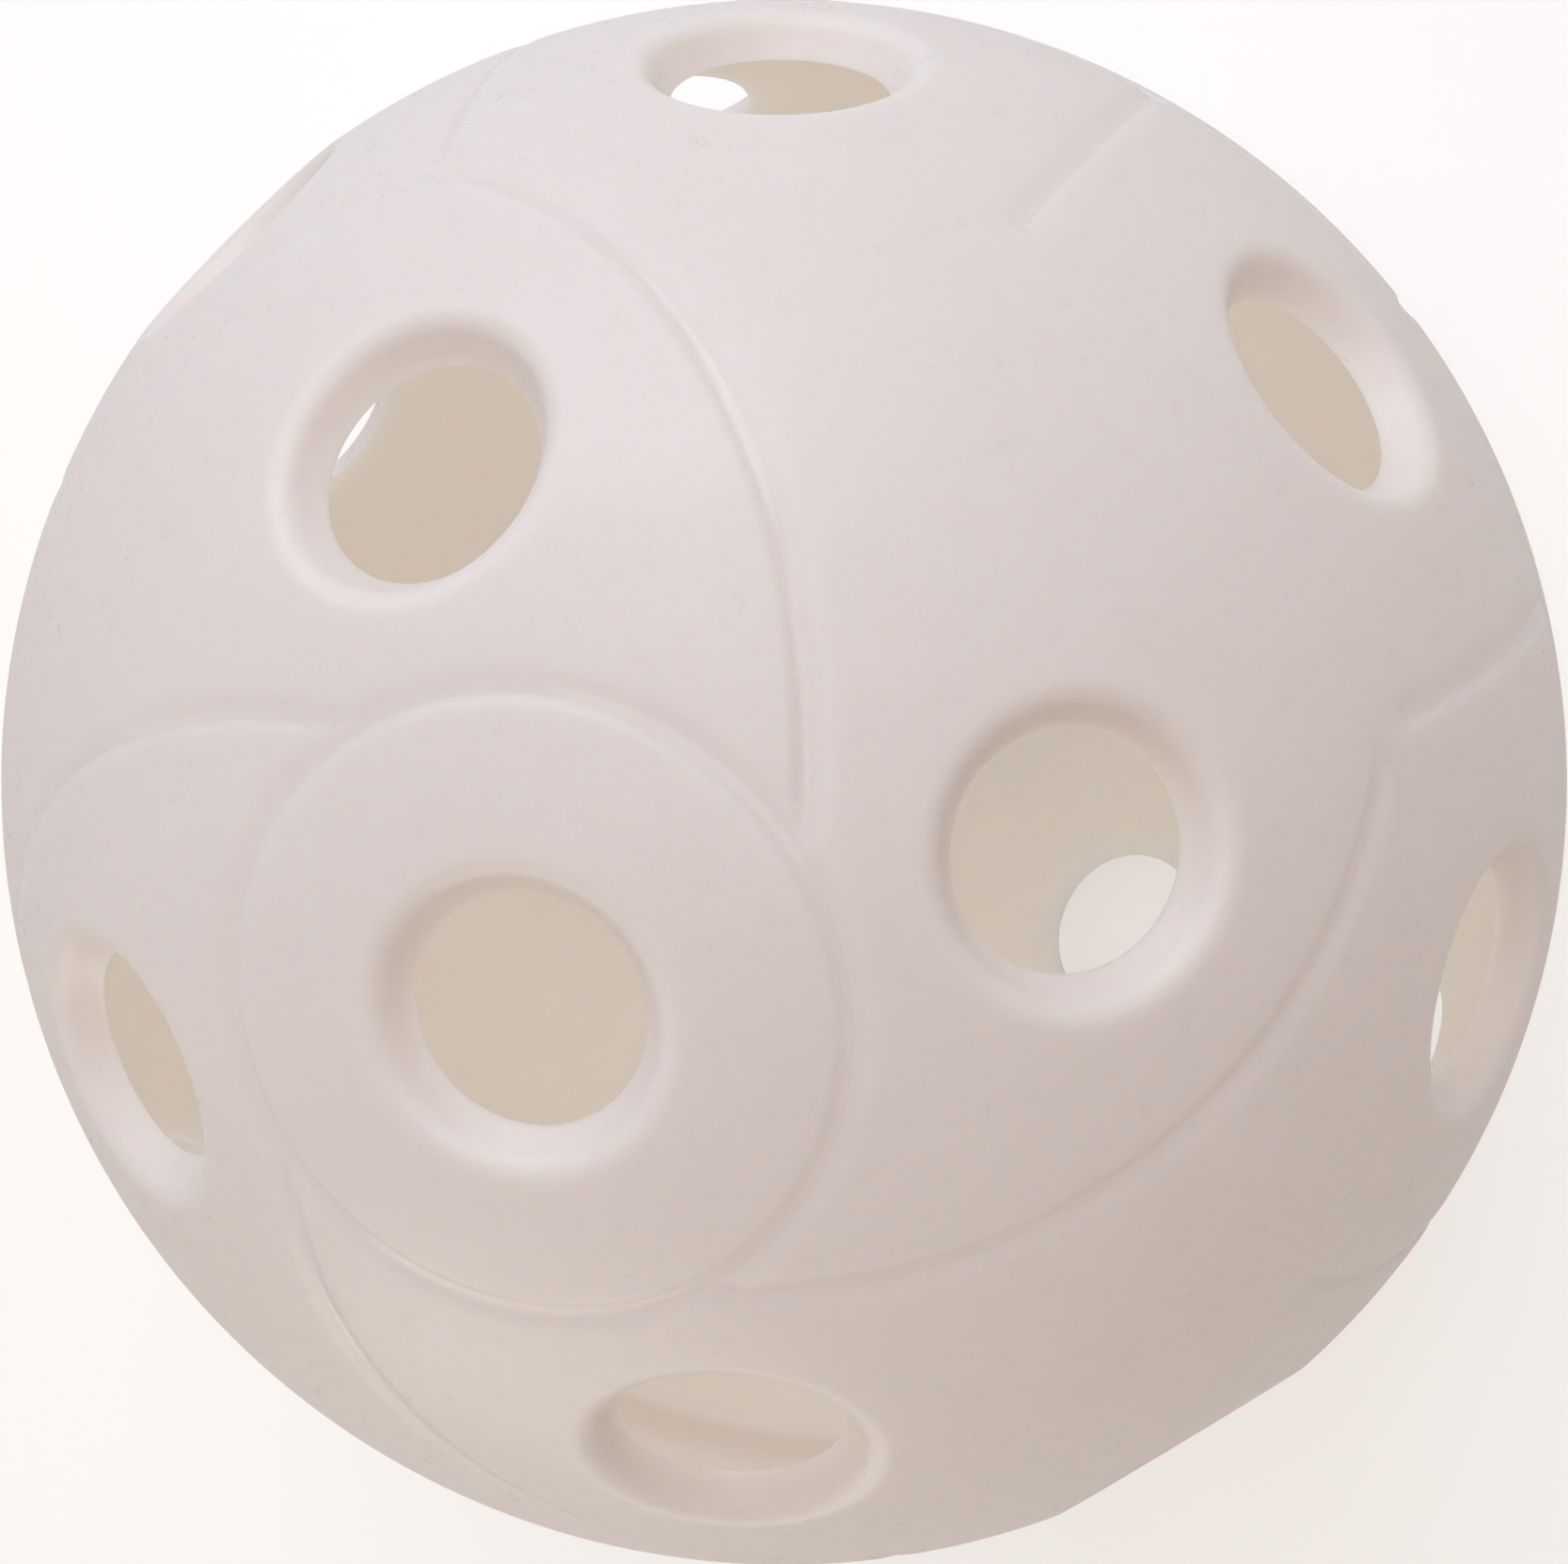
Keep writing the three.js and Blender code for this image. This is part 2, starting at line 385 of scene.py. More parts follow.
class SeamSide(Enum):
    """What a half has inside its seam edge."""

    REBATE = "rebate"
    LIP = "lip"


@dataclass(frozen=True)
class LapJoint:
    """The seam: a small bevel outside and a low lip in a rebate inside.

    The lip and the rebate both stop a shelf's width short of the inner wall, and the wall
    tapers back to that shelf on either side of the seam.
    """

    bevel: float = 0.2 * MM
    height: float = 0.4 * MM
    thickness: float = 0.75 * MM
    clearance: float = 0.005 * MM
    shelf: float = 0.1 * MM
    rebate_taper: float = 3.5 * MM
    lip_taper: float = 2.0 * MM
    around: int = 600
    ring_steps: tuple[float, ...] = (0.25 * MM, 0.6 * MM)

    def section(self, side: SeamSide, wall: Wall) -> np.ndarray:
        """Section across the seam edge, from the bevel's foot to the inner wall.

        Formula: straight lines, in along the plane of the seam to the step, along the step
        to the end of the lip or the rebate, in to the shelf, and over the taper to a point
        of the inner sphere.

        Args:
            side: Whether the half has the rebate or the lip.
            wall: The ball's wall.

        Returns:
            Distance from the axis and height of each point, for a half with its pole up.
        """
        foot = (wall.outer_radius - self.bevel, 0.0)
        step = wall.inner_radius + self.thickness
        if side is SeamSide.LIP:
            top, end = -self.height, self.lip_taper
        else:
            step += self.clearance
            top = self.height + self.clearance
            end = top + self.rebate_taper
        shelf = (wall.inner_radius + self.shelf, top)
        inner = math.sqrt(wall.inner_radius**2 - end**2)
        return np.array([foot, (step, 0.0), (step, top), shelf, (inner, end)])


def revolve(section: np.ndarray, azimuths: np.ndarray) -> np.ndarray:
    """Points of a section carried round the Z axis.

    Formula: distance from the axis times (cos, sin) of the azimuth, at the same height.

    Args:
        section: Distance from the axis and height of each point.
        azimuths: Angles at which the section stands, in radians.

    Returns:
        Points, first by point of the section and then by azimuth.
    """
    away, height = section[:, 0], section[:, 1]
    x = np.multiply.outer(away, np.cos(azimuths))
    y = np.multiply.outer(away, np.sin(azimuths))
    z = np.repeat(height[:, None], len(azimuths), axis=1)
    return np.stack([x, y, z], axis=-1)


def even_directions(gap: float, radius: float) -> np.ndarray:
    """Directions spread evenly over the upper half of a sphere.

    Formula: heights fall by equal steps while the azimuth grows by the golden angle, with
    as many points as equal triangles with sides of the gap would need.

    Args:
        gap: Distance between neighbours on the sphere.
        radius: Radius of the sphere.

    Returns:
        Directions, from the pole to the seam.
    """
    cell = gap * gap * math.sqrt(3.0) / 2.0
    count = int(math.tau * radius * radius / cell)
    index = np.arange(count)
    golden_angle = math.pi * (3.0 - math.sqrt(5.0))
    return direction(np.arccos(1.0 - (index + 0.5) / count), index * golden_angle)


def triangulate(directions: np.ndarray) -> np.ndarray:
    """Triangles between directions in the upper half, as seen from outside.

    Formula: the sphere is laid flat from its far pole, x and y over one plus z, which
    keeps circles round, so the flat Delaunay triangles are the sphere's own.

    Args:
        directions: Unit vectors, no two alike, with the outermost ones on a circle.

    Returns:
        Three indices for each triangle, counterclockwise from outside.
    """
    flat = directions[:, :2] / (1.0 + directions[:, 2:])
    kept, _, faces, *_ = delaunay_2d_cdt(flat.tolist(), [], [], 0, ROUNDING, False)
    if len(kept) != len(directions):
        raise ValueError("two directions of the skin fall together")
    triangles = np.array(faces, dtype=np.int64)
    a, b, c = (flat[triangles[:, corner]] for corner in range(3))
    turned = np.cross(b - a, c - a) < 0.0
    triangles[turned] = triangles[turned][:, ::-1]
    return triangles


def without_holes(triangles: np.ndarray, hole_count: int, around: int) -> np.ndarray:
    """Leaves out the triangles that span a hole, whose corners are all on one bore edge.

    Args:
        triangles: Triangles whose first points are the bore edges, one after another.
        hole_count: Number of holes.
        around: Number of points round a bore edge.

    Returns:
        The other triangles.
    """
    hole = triangles // around
    on_edge = triangles < hole_count * around
    spans = on_edge.all(axis=1) & (hole == hole[:, :1]).all(axis=1)
    return triangles[~spans]


def strip_triangles(rows: int, around: int) -> np.ndarray:
    """Triangles between rings of points, ring after ring, that close on themselves.

    Args:
        rows: Number of rings.
        around: Number of points in a ring.

    Returns:
        Three indices for each triangle into the rings' points.
    """
    row, column = np.meshgrid(np.arange(rows - 1), np.arange(around), indexing="ij")
    here = row * around + column
    beside = row * around + (column + 1) % around
    below = here + around
    across = beside + around
    return np.stack([here, below, across, here, across, beside], axis=-1).reshape(-1, 3)


def make_mesh(name: str, points: np.ndarray, triangles: np.ndarray) -> bpy.types.Mesh:
    """A Blender mesh from arrays, shaded smooth.

    Args:
        name: Name of the mesh.
        points: Places of the vertices, in metres.
        triangles: Three indices for each face.

    Returns:
        The mesh.
    """
    mesh = bpy.data.meshes.new(name)
    mesh.vertices.add(len(points))
    mesh.vertices.foreach_set("co", points.astype(np.float32).ravel())
    mesh.loops.add(triangles.size)
    mesh.loops.foreach_set("vertex_index", triangles.astype(np.int32).ravel())
    mesh.polygons.add(len(triangles))
    mesh.polygons.foreach_set("loop_start", np.arange(0, triangles.size, 3, dtype=np.int32))
    mesh.update(calc_edges=True)
    mesh.validate()
    mesh.shade_smooth()
    return mesh


class Skin(Enum):
    """The kinds of skin a half has, numbered as its material slots."""

    OUTSIDE = 0
    POLISHED = 1
    INSIDE = 2
    BEVEL = 3
    LAP = 4


Finishes = dict[Skin, bpy.types.Material]


@dataclass
class HalfShell:
    """One moulded half of the ball, made with its pole on +Z and turned to its place."""

    name: str
    node: str
    side: SeamSide
    wall: Wall
    turn_over_azimuth: float | None = None
    hole: HoleShape = HoleShape()
    relief: Relief = Relief()
    joint: LapJoint = LapJoint()
    inner_row: HoleRow = HoleRow(math.radians(35.1), 4, 0.0)
    outer_row: HoleRow = HoleRow(math.radians(71.4), 8, math.radians(22.5))
    outer_gap: float = 0.62 * MM
    inner_gap: float = 1.05 * MM
    row_margin: float = 0.12 * MM
    hole_margin: float = 0.35 * MM
    groove_margin: float = 0.3 * MM
    inner_seam_share: float = 0.8
    inner_hole_share: float = 0.5
    sharp_angle: float = math.radians(38.0)
    holes: list[Circle] = field(init=False)
    grooves: list[Groove] = field(init=False)

    def __post_init__(self) -> None:
        """Lists the holes and the grooves of the half."""
        self.holes = [Circle(0.0, 0.0), *self.inner_row.circles(), *self.outer_row.circles()]
        self.grooves = self.relief.grooves()

    def nearest_hole(self, directions: np.ndarray) -> np.ndarray:
        """Angle of each direction from the axis of the hole nearest to it."""
        axes = np.array([hole.axis for hole in self.holes])
        return np.arccos(np.clip((directions @ axes.T).max(axis=1), -1.0, 1.0))

    def hole_rings(self, angles: np.ndarray) -> np.ndarray:
        """Directions on rings round every hole, ring by ring for all holes."""
        bearings = np.arange(self.hole.around) * math.tau / self.hole.around
        rings = np.stack([hole.points(angles, bearings) for hole in self.holes], axis=1)
        return rings.reshape(-1, 3)

    def seam_rings(self, polars: Sequence[float]) -> np.ndarray:
        """Directions on rings round the polar axis, with as many points as the seam."""
        azimuths = np.arange(self.joint.around) * math.tau / self.joint.around
        return direction(np.array(polars)[:, None], azimuths[None, :]).reshape(-1, 3)

    def outside_directions(self) -> np.ndarray:
        """Directions of the outer skin: bore edges first, the seam's ring last.

        Rings stand round each hole and rows along each groove, and even points fill what
        lies between them.
        """
        radius = self.wall.outer_radius
        mouth = math.asin(self.hole.mouth_radius / radius)
        wall_angles, _ = self.hole.section(self.wall)
        apron = mouth + np.array(self.hole.apron_steps) / radius
        rings = self.hole_rings(np.concatenate([wall_angles, apron]))
        edge = math.pi / 2 - self.joint.bevel / radius
        near_seam = [edge - step / radius for step in reversed(self.joint.ring_steps)]
        last_row = near_seam[0] - self.joint.ring_steps[0] / radius
        parts = [rings]
        for index, groove in enumerate(self.grooves):
            rows = groove.rows(radius)
            rows = rows[rows[:, 2] > math.cos(last_row)]
            for earlier in self.grooves[:index]:
                rows = rows[~earlier.covers(rows, radius, self.row_margin)]
            parts.append(rows)
        even = even_directions(self.outer_gap, radius)
        even = even[even[:, 2] > math.cos(last_row)]
        even = even[self.nearest_hole(even) > apron[-1] + self.hole_margin / radius]
        for groove in self.grooves:
            even = even[~groove.covers(even, radius, self.groove_margin)]
        parts += [even, self.seam_rings([*near_seam, edge])]
        return np.concatenate(parts)

    def outside_radius(self, directions: np.ndarray) -> np.ndarray:
        """Distance of the outer skin from the ball's centre in each direction.

        Formula: the hole's section near a hole, and elsewhere the ball's radius less the
        deepest groove there.
        """
        radius = self.wall.outer_radius
        depths = [groove.depth_at(directions, radius) for groove in self.grooves]
        angles, reaches = self.hole.section(self.wall)
        nearest = self.nearest_hole(directions)
        open_skin = radius - np.max(depths, axis=0)
        return np.where(nearest < angles[-1], np.interp(nearest, angles, reaches), open_skin)

    def inside_directions(self, last_polar: float) -> np.ndarray:
        """Directions of the inner skin: bore edges first, its last ring at the end."""
        radius = self.wall.inner_radius
        wall_angles, _ = self.hole.section(self.wall)
        steps = wall_angles[0] + np.array(self.hole.inner_steps) / radius
        rings = self.hole_rings(np.concatenate([wall_angles[:1], steps]))
        lowest = last_polar - self.inner_seam_share * self.inner_gap / radius
        nearest = steps[-1] + self.inner_hole_share * self.inner_gap / radius
        even = even_directions(self.inner_gap, radius)
        even = even[even[:, 2] > math.cos(lowest)]
        even = even[self.nearest_hole(even) > nearest]
        return np.concatenate([rings, even, self.seam_rings([last_polar])])

    def outer_skin(self, points: np.ndarray, triangles: np.ndarray) -> np.ndarray:
        """The kind of skin of each outer triangle, as the number of its material slot.

        Formula: it is polished where the depth at the triangle's middle is nearly that of
        the pattern, which is on the flat bottoms of the grooves.
        """
        middles = points[triangles].mean(axis=1)
        middles /= np.linalg.norm(middles, axis=1, keepdims=True)
        radius = self.wall.outer_radius
        depths = [groove.depth_at(middles, radius) for groove in self.grooves]
        polished = np.max(depths, axis=0) > self.relief.polished_share * self.relief.depth
        return np.where(polished, Skin.POLISHED.value, Skin.OUTSIDE.value)

    def closed_surface(self) -> tuple[np.ndarray, np.ndarray, np.ndarray]:
        """The half's closed surface, with its pole on +Z.

        Formula: the outer skin, then a strip of rings along the seam's section, whose
        first two rings make the bevel, and the inner skin turned inside out. The skins
        share the bore edges with each other and their last rings with the strip.

        Returns:
            Points, triangles with their outside out, and the kind of skin of each triangle
            as the number of its material slot.
        """
        around = self.joint.around
        edge_points = len(self.holes) * self.hole.around
        outside = self.outside_directions()
        outer_points = outside * self.outside_radius(outside)[:, None]
        section = self.joint.section(self.side, self.wall)
        azimuths = np.arange(around) * math.tau / around
        strip_points = revolve(section[:-1], azimuths).reshape(-1, 3)
        last_polar = math.atan2(section[-1, 0], section[-1, 1])
        inside = self.inside_directions(last_polar)
        inner_points = inside[edge_points:] * self.wall.inner_radius
        points = np.concatenate([outer_points, strip_points, inner_points])

        outer_count, strip_count = len(outer_points), len(strip_points)
        outer = without_holes(triangulate(outside), len(self.holes), self.hole.around)
        inner = without_holes(triangulate(inside), len(self.holes), self.hole.around)
        shift = outer_count + strip_count - edge_points
        inner = np.where(inner < edge_points, inner, inner + shift)[:, ::-1]
        strip = strip_triangles(len(section) + 1, around) + outer_count - around
        strip_end = outer_count + strip_count
        last_ring = len(points) - around
        strip = np.where(strip < strip_end, strip, strip - strip_end + last_ring)
        bevel_count = 2 * around
        skins = [
            self.outer_skin(points, outer),
            np.full(bevel_count, Skin.BEVEL.value),
            np.full(len(strip) - bevel_count, Skin.LAP.value),
            np.full(len(inner), Skin.INSIDE.value),
        ]
        return points, np.concatenate([outer, strip, inner]), np.concatenate(skins)

    def turn_over(self, points: np.ndarray) -> np.ndarray:
        """Points turned half round about the level line at the turn-over azimuth."""
        if self.turn_over_azimuth is None:
            return points
        line = direction(math.pi / 2, self.turn_over_azimuth)
        return 2.0 * np.multiply.outer(points @ line, line) - points

    def build(self, finishes: Finishes) -> bpy.types.Object:
        """Makes the half's object, dresses it and hands it to the frame.

        Args:
            finishes: The materials of the ball.

        Returns:
            The object, at the origin, unturned and unscaled.
        """
        points, triangles, skins = self.closed_surface()
        mesh = make_mesh(self.name, self.turn_over(points), triangles)
        mesh.set_sharp_from_angle(angle=self.sharp_angle)
        for skin in Skin:
            mesh.materials.append(finishes[skin])
        mesh.polygons.foreach_set("material_index", skins.astype(np.int32))
        piece = bpy.data.objects.new(self.name, mesh)
        bpy.context.scene.collection.objects.link(piece)
        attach(piece, "root")
        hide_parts(self.node)
        log.info("%s: %d triangles", self.name, len(triangles))
        return piece


def new_node_group(
    name: str, number_inputs: Sequence[str], number_outputs: Sequence[str]
) -> tuple[bpy.types.ShaderNodeTree, bpy.types.Node, bpy.types.Node]:
    """A shader node group with a Position input and the named inputs and outputs.

    Args:
        name: Name of the group.
        number_inputs: Names of the inputs that are plain numbers.
        number_outputs: Names of the outputs, all plain numbers.

    Returns:
        The group, the node that its inputs come in by and the one its outputs leave by.
    """
    group = bpy.data.node_groups.new(name, "ShaderNodeTree")
    group.interface.new_socket("Position", in_out="INPUT", socket_type="NodeSocketVector")
    for label in number_inputs:
        group.interface.new_socket(label, in_out="INPUT", socket_type="NodeSocketFloat")
    for label in number_outputs:
        group.interface.new_socket(label, in_out="OUTPUT", socket_type="NodeSocketFloat")
    return group, group.nodes.new("NodeGroupInput"), group.nodes.new("NodeGroupOutput")


def moulded_grain() -> bpy.types.ShaderNodeTree:
    """The skin that the mould leaves on polyethylene, as a shader node group.

    Inputs are the position, the size of the grain and the share of soft waves in it.
    Outputs are the height of the fine grain over the waves, and a mask of slightly duller
    patches, both from 0 to 1.

    Returns:
        The node group.
    """
    inputs, outputs = ("Grain Size", "Wave Share"), ("Height", "Patches")
    group, entry, leave = new_node_group("moulded_grain", inputs, outputs)
    nodes, links = group.nodes, group.links

    def scale_of(multiple: float) -> bpy.types.NodeSocket:
        """How often a pattern repeats per metre, for a multiple of the grain's size."""
        size = nodes.new("ShaderNodeMath")
        size.operation = "MULTIPLY"
        size.inputs[1].default_value = multiple
        links.new(entry.outputs["Grain Size"], size.inputs[0])
        rate = nodes.new("ShaderNodeMath")
        rate.operation = "DIVIDE"
        rate.inputs[0].default_value = 1.0
        links.new(size.outputs[0], rate.inputs[1])
        return rate.outputs[0]

    def noise(multiple: float, detail: float) -> bpy.types.NodeSocket:
        """Value of a noise whose lumps are a multiple of the grain's size."""
        node = nodes.new("ShaderNodeTexNoise")
        node.inputs["Detail"].default_value = detail
        links.new(entry.outputs["Position"], node.inputs["Vector"])
        links.new(scale_of(multiple), node.inputs["Scale"])
        return node.outputs["Fac"]

    mix = nodes.new("ShaderNodeMix")
    mix.data_type = "FLOAT"
    links.new(entry.outputs["Wave Share"], mix.inputs["Factor"])
    links.new(noise(*GRAIN_LUMPS), mix.inputs["A"])
    links.new(noise(*WAVE_LUMPS), mix.inputs["B"])
    links.new(mix.outputs["Result"], leave.inputs["Height"])
    links.new(noise(*PATCH_LUMPS), leave.inputs["Patches"])
    return group


def handling_marks() -> bpy.types.ShaderNodeTree:
    """Hair-thin curled scuffs and small dents, thinly strewn, as a shader node group.

    Inputs are the position and how often the marks repeat per metre. The output is a
    mask, 1 in a mark. A scuff is where a noise crosses its middle value, kept only where
    a second noise is high. A dent is the middle of some cells of a cell pattern.

    Returns:
        The node group.
    """
    group, entry, leave = new_node_group("handling_marks", ("Rate",), ("Marks",))
    nodes, links = group.nodes, group.links

    def math_node(operation: str, *values: bpy.types.NodeSocket | float) -> bpy.types.NodeSocket:
        """A sum on sockets and plain numbers."""
        node = nodes.new("ShaderNodeMath")
        node.operation = operation
        for socket, value in zip(node.inputs, values):
            if isinstance(value, bpy.types.NodeSocket):
                links.new(value, socket)
            else:
                socket.default_value = value
        return node.outputs[0]

    def noise(rate_share: float) -> bpy.types.NodeSocket:
        """Value of a soft noise at a share of the marks' rate."""
        node = nodes.new("ShaderNodeTexNoise")
        node.inputs["Detail"].default_value = 1.0
        links.new(entry.outputs["Position"], node.inputs["Vector"])
        links.new(math_node("MULTIPLY", entry.outputs["Rate"], rate_share), node.inputs["Scale"])
        return node.outputs["Fac"]

    def fade(value: bpy.types.NodeSocket, full: float, none: float) -> bpy.types.NodeSocket:
        """Goes from 1 where the value is full to 0 where it is none."""
        node = nodes.new("ShaderNodeMapRange")
        node.inputs["From Min"].default_value = none
        node.inputs["From Max"].default_value = full
        links.new(value, node.inputs["Value"])
        return node.outputs["Result"]

    off_middle = math_node("ABSOLUTE", math_node("SUBTRACT", noise(1.0), 0.5))
    scuff_places = fade(noise(SCUFF_PLACES_RATE), *SCUFF_PLACES)
    scuffs = math_node("MULTIPLY", fade(off_middle, *SCUFF_WIDTH), scuff_places)
    cells = nodes.new("ShaderNodeTexVoronoi")
    links.new(entry.outputs["Position"], cells.inputs["Vector"])
    links.new(entry.outputs["Rate"], cells.inputs["Scale"])
    parted = nodes.new("ShaderNodeSeparateColor")
    links.new(cells.outputs["Color"], parted.inputs["Color"])
    dent_shapes = fade(cells.outputs["Distance"], *DENT_WIDTH)
    dents = math_node("MULTIPLY", dent_shapes, fade(parted.outputs[0], *DENT_PLACES))
    links.new(math_node("MAXIMUM", scuffs, dents), leave.inputs["Marks"])
    return group


@dataclass(frozen=True)
class Polyethylene:
    """A white polyethylene finish: colour, gloss, grain and how far light soaks in."""

    name: str
    colour: tuple[float, float, float]
    dull_colour: tuple[float, float, float]
    gloss_roughness: float
    dull_roughness: float
    grain_size: float
    wave_share: float
    grain_height: float
    soak_depth: float
    soak_weight: float = 1.0
    soak_radius: tuple[float, float, float] = (1.0, 0.85, 0.7)
    # Painted light: an emission on the surface, though it is no lamp, standing for light that soaks
    # through the wall.
    glow: tuple[float, float, float] = (0.0, 0.0, 0.0)
    marks_rate: float = 1.0 / (0.4 * MM)
    marked_roughness: float = 0.14
    marks_depth_share: float = 0.25
    # Painted shade: between these heights the colour is multiplied by the shade colour, standing for
    # less light soaking through where the wall is doubled.
    shade_rise: tuple[float, float] = (0.0, 0.0)
    shade_fall: tuple[float, float] = (0.0, 0.0)
    shade_colour: tuple[float, float, float] = (1.0, 1.0, 1.0)
    refraction: float = 1.51

    def shaded(
        self, tree: bpy.types.ShaderNodeTree, place: bpy.types.Node, colour: bpy.types.NodeSocket
    ) -> bpy.types.NodeSocket:
        """The colour, darker over the seam, where the doubled wall lets less light soak in.

        Formula: a smooth step up over the rise times a smooth step down over the fall,
        both by height.

        Args:
            tree: The material's nodes.
            place: The node that gives the Object coordinates.
            colour: The colour that the shade is laid on.

        Returns:
            The shaded colour, or the colour itself where the finish has no shade.
        """
        if self.shade_fall[1] <= self.shade_rise[0]:
            return colour
        nodes, links = tree.nodes, tree.links
        parted = nodes.new("ShaderNodeSeparateXYZ")
        links.new(place.outputs["Object"], parted.inputs[0])
        mask = nodes.new("ShaderNodeMath")
        mask.operation = "MULTIPLY"
        for index, (none, full) in enumerate((self.shade_rise, reversed(self.shade_fall))):
            step = nodes.new("ShaderNodeMapRange")
            step.interpolation_type = "SMOOTHSTEP"
            step.inputs["From Min"].default_value = none
            step.inputs["From Max"].default_value = full
            links.new(parted.outputs["Z"], step.inputs["Value"])
            links.new(step.outputs["Result"], mask.inputs[index])
        shade = nodes.new("ShaderNodeMix")
        shade.data_type = "RGBA"
        shade.blend_type = "MULTIPLY"
        links.new(mask.outputs[0], shade.inputs["Factor"])
        links.new(colour, shade.inputs["A"])
        shade.inputs["B"].default_value = (*self.shade_colour, 1.0)
        return shade.outputs["Result"]

    def material(
        self, grain: bpy.types.ShaderNodeTree, marks: bpy.types.ShaderNodeTree
    ) -> bpy.types.Material:
        """The finish as a Blender material on Object coordinates.

        Args:
            grain: The moulded grain's node group.
            marks: The handling marks' node group.

        Returns:
            The material.
        """
        material = bpy.data.materials.new(self.name)
        material.use_nodes = True
        nodes, links = material.node_tree.nodes, material.node_tree.links
        shader = nodes["Principled BSDF"]
        shader.inputs["IOR"].default_value = self.refraction
        shader.inputs["Subsurface Weight"].default_value = self.soak_weight
        shader.inputs["Subsurface Scale"].default_value = self.soak_depth
        shader.inputs["Subsurface Radius"].default_value = self.soak_radius
        # Painted light: the glow is emitted by the surface itself.
        shader.inputs["Emission Color"].default_value = (*self.glow, 1.0)
        shader.inputs["Emission Strength"].default_value = 1.0

        place = nodes.new("ShaderNodeTexCoord")
        skin = nodes.new("ShaderNodeGroup")
        skin.node_tree = grain
        skin.inputs["Grain Size"].default_value = self.grain_size
        skin.inputs["Wave Share"].default_value = self.wave_share
        links.new(place.outputs["Object"], skin.inputs["Position"])

        tint = nodes.new("ShaderNodeMix")
        tint.data_type = "RGBA"
        tint.inputs["A"].default_value = (*self.colour, 1.0)
        tint.inputs["B"].default_value = (*self.dull_colour, 1.0)
        links.new(skin.outputs["Patches"], tint.inputs["Factor"])
        colour = self.shaded(material.node_tree, place, tint.outputs["Result"])
        links.new(colour, shader.inputs["Base Color"])

        gloss = nodes.new("ShaderNodeMapRange")
        gloss.inputs["To Min"].default_value = self.gloss_roughness
        gloss.inputs["To Max"].default_value = self.dull_roughness
        links.new(skin.outputs["Patches"], gloss.inputs["Value"])
        mark = nodes.new("ShaderNodeGroup")
        mark.node_tree = marks
        mark.inputs["Rate"].default_value = self.marks_rate
        links.new(place.outputs["Object"], mark.inputs["Position"])
        marked = nodes.new("ShaderNodeMix")
        links.new(mark.outputs["Marks"], marked.inputs["Factor"])
        links.new(gloss.outputs["Result"], marked.inputs["A"])
        marked.inputs["B"].default_value = self.marked_roughness
        links.new(marked.outputs["Result"], shader.inputs["Roughness"])

        height = nodes.new("ShaderNodeMath")
        height.operation = "MULTIPLY_ADD"
        links.new(mark.outputs["Marks"], height.inputs[0])
        height.inputs[1].default_value = -self.marks_depth_share
        links.new(skin.outputs["Height"], height.inputs[2])
        bump = nodes.new("ShaderNodeBump")
        bump.inputs["Distance"].default_value = self.grain_height
        links.new(height.outputs[0], bump.inputs["Height"])
        links.new(bump.outputs["Normal"], shader.inputs["Normal"])
        return material


# The satin skin outside, with the grain of the mould.
OUTSIDE = Polyethylene(
    name="polyethylene_outside",
    colour=(0.86, 0.81, 0.8),
    dull_colour=(0.835, 0.78, 0.765),
    gloss_roughness=0.34,
    dull_roughness=0.46,
    grain_size=0.24 * MM,
    wave_share=0.4,
    grain_height=0.03 * MM,
    soak_depth=1.2 * MM,
)
# The flat bottoms of the grooves, smoother than the skin round them.
POLISHED = replace(
    OUTSIDE,
    name="polyethylene_polished",
    gloss_roughness=0.15,
    dull_roughness=0.2,
    grain_height=0.006 * MM,
)
# The inside of the wall. Its faint glow is painted light, an emission that stands for daylight that
# soaks through the wall.
INSIDE = Polyethylene(
    name="polyethylene_inside",
    # Painted light: this colour, much lighter than the outside's, brightens the hollow as light soaked
    # through the wall would.
    colour=(0.998, 0.987, 0.976),
    dull_colour=(0.996, 0.984, 0.972),
    gloss_roughness=0.5,
    dull_roughness=0.6,
    grain_size=0.5 * MM,
    wave_share=0.4,
    grain_height=0.015 * MM,
    soak_depth=2.0 * MM,
    soak_radius=(1.0, 0.75, 0.55),
    glow=(0.009, 0.006, 0.003),
    marks_depth_share=0.0,
    # Painted shade over the seam, where the doubled wall lets less light soak in.
    shade_rise=(-0.8 * MM, 0.8 * MM),
    shade_fall=(1.5 * MM, 4.8 * MM),
    shade_colour=(0.92, 0.88, 0.85),
)
# The faces at the seam take no soak, as light lost between the halves draws a dark line.
BEVEL = replace(OUTSIDE, name="polyethylene_bevel", soak_weight=0.0)
LAP = replace(INSIDE, name="polyethylene_lap", soak_weight=0.0)
FINISHES = {
    Skin.OUTSIDE: OUTSIDE,
    Skin.POLISHED: POLISHED,
    Skin.INSIDE: INSIDE,
    Skin.BEVEL: BEVEL,
    Skin.LAP: LAP,
}


@dataclass(frozen=True)
class Lamp:
    """A soft square lamp that looks at the ball."""

    name: str
    polar: float
    azimuth: float
    distance: float
    width: float
    power: float
    colour: tuple[float, float, float]

    def build(self) -> bpy.types.Object:
        """Makes the lamp, aimed at the origin."""
        light = bpy.data.lights.new(self.name, "AREA")
        light.shape = "SQUARE"
        light.size = self.width
        light.energy = self.power
        light.color = self.colour
        lamp = bpy.data.objects.new(self.name, light)
        away = Vector(direction(self.polar, self.azimuth))
        facing = away.to_track_quat("Z", "Y").to_matrix().to_4x4()
        lamp.matrix_world = Matrix.Translation(away * self.distance) @ facing
        bpy.context.scene.collection.objects.link(lamp)
        return lamp


